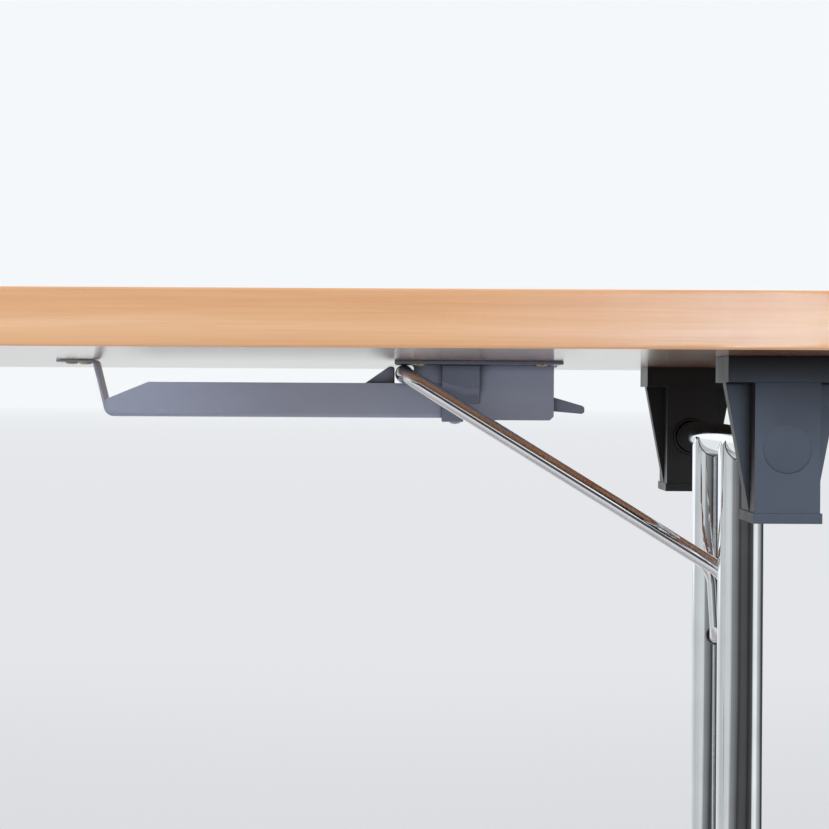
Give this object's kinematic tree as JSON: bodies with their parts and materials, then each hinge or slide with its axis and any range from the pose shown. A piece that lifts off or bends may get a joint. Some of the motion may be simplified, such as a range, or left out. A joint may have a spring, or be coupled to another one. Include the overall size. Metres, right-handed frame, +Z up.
{
  "type": "folding-leg training table",
  "caption": "Training table with a flat beech-edged top on chrome T-legs that fold inward under it, each held upright by a sliding brace rod, a rail and a sprung latch.",
  "frame": {"origin": "on the floor under the middle of the top", "axes": "+X along the table's length, +Y from the front edge in the picture to the back, +Z up"},
  "size_m": [1.6, 0.75, 0.74],
  "materials": {
    "tabletop": "beech laminate, satin",
    "edge_band": "beech edge band, satin",
    "chrome": "polished chrome plate on steel tube",
    "black_plastic": "moulded black plastic, fine texture",
    "grey_paint": "blue-grey satin paint on steel sheet",
    "bright_steel": "bright zinc on steel",
    "yellow_zinc": "yellow zinc on steel"
  },
  "bodies": {
    "top": {"tabletop_board": "tabletop", "tabletop_edge_band": "edge_band", "right_bracket_front": "black_plastic", "right_bracket_rear": "black_plastic", "right_bearing_bush_front": "black_plastic", "right_bearing_bush_rear": "black_plastic", "right_slide_rail": "grey_paint", "right_mount_plate": "grey_paint", "right_latch_housing": "grey_paint", "right_stirrup": "grey_paint", "right_stirrup_rivet": "bright_steel", "right_latch_pin": "bright_steel", "right_latch_spring": "bright_steel", "right_hanger_screw_1": "yellow_zinc", "right_hanger_screw_2": "yellow_zinc", "right_plate_screw_1": "yellow_zinc", "right_plate_screw_2": "yellow_zinc", "left_bracket_front": "black_plastic", "left_bracket_rear": "black_plastic", "left_bearing_bush_front": "black_plastic", "left_bearing_bush_rear": "black_plastic", "left_slide_rail": "grey_paint", "left_mount_plate": "grey_paint", "left_latch_housing": "grey_paint", "left_stirrup": "grey_paint", "left_stirrup_rivet": "bright_steel", "left_latch_pin": "bright_steel", "left_latch_spring": "bright_steel", "left_hanger_screw_1": "yellow_zinc", "left_hanger_screw_2": "yellow_zinc", "left_plate_screw_1": "yellow_zinc", "left_plate_screw_2": "yellow_zinc"},
    "right_leg": {"right_cross_tube": "chrome", "right_column_front": "chrome", "right_column_rear": "chrome", "right_foot_tube": "chrome", "right_foot_cap_front": "black_plastic", "right_foot_cap_rear": "black_plastic", "right_foot_pad_front": "black_plastic", "right_foot_pad_rear": "black_plastic", "right_brace_bush_front": "bright_steel", "right_brace_bush_rear": "bright_steel"},
    "right_slider": {"right_slide_sleeve": "black_plastic"},
    "right_brace": {"right_brace_rod": "chrome"},
    "right_latch": {"right_latch_lever": "grey_paint", "right_latch_hook": "grey_paint"},
    "left_leg": {"left_cross_tube": "chrome", "left_column_front": "chrome", "left_column_rear": "chrome", "left_foot_tube": "chrome", "left_foot_cap_front": "black_plastic", "left_foot_cap_rear": "black_plastic", "left_foot_pad_front": "black_plastic", "left_foot_pad_rear": "black_plastic", "left_brace_bush_front": "bright_steel", "left_brace_bush_rear": "bright_steel"},
    "left_slider": {"left_slide_sleeve": "black_plastic"},
    "left_brace": {"left_brace_rod": "chrome"},
    "left_latch": {"left_latch_lever": "grey_paint", "left_latch_hook": "grey_paint"}
  },
  "joints": [
    {"name": "right_leg_fold", "type": "hinge", "parent": "top", "child": "right_leg", "pos_m": [0.68, 0, 0.662], "axis": [0, 1, 0], "range_deg": [0, 90], "deforming": ["right_latch_hook"]},
    {"name": "right_brace_slide", "type": "slide", "parent": "top", "child": "right_slider", "axis": [-1, 0, 0], "range_m": [0, 0.18685]},
    {"name": "right_brace_turn", "type": "hinge", "parent": "right_slider", "child": "right_brace", "pos_m": [0.474, 0, 0.7037], "axis": [0, -1, 0], "range_deg": [0, 30.64]},
    {"name": "right_latch_release", "type": "hinge", "parent": "top", "child": "right_latch", "pos_m": [0.53, 0, 0.686], "axis": [0, -1, 0], "range_deg": [0, 10], "stiffness_Nm_per_rad": 0.3, "springref_deg": -11.46, "deforming": ["right_latch_spring"]},
    {"name": "left_leg_fold", "type": "hinge", "parent": "top", "child": "left_leg", "pos_m": [-0.68, 0, 0.662], "axis": [0, -1, 0], "range_deg": [0, 90], "deforming": ["left_latch_hook"]},
    {"name": "left_brace_slide", "type": "slide", "parent": "top", "child": "left_slider", "axis": [1, 0, 0], "range_m": [0, 0.18685]},
    {"name": "left_brace_turn", "type": "hinge", "parent": "left_slider", "child": "left_brace", "pos_m": [-0.474, 0, 0.7037], "axis": [0, 1, 0], "range_deg": [0, 30.64]},
    {"name": "left_latch_release", "type": "hinge", "parent": "top", "child": "left_latch", "pos_m": [-0.53, 0, 0.686], "axis": [0, 1, 0], "range_deg": [0, 10], "stiffness_Nm_per_rad": 0.3, "springref_deg": -11.46, "deforming": ["left_latch_spring"]}
  ],
  "couplings": [
    {"joint": "right_brace_slide", "follows": "right_leg_fold", "m_per_rad": 0.1189},
    {"joint": "right_brace_turn", "follows": "right_leg_fold", "ratio": 0.34026},
    {"joint": "left_brace_slide", "follows": "left_leg_fold", "m_per_rad": 0.1189},
    {"joint": "left_brace_turn", "follows": "left_leg_fold", "ratio": 0.34026}
  ]
}
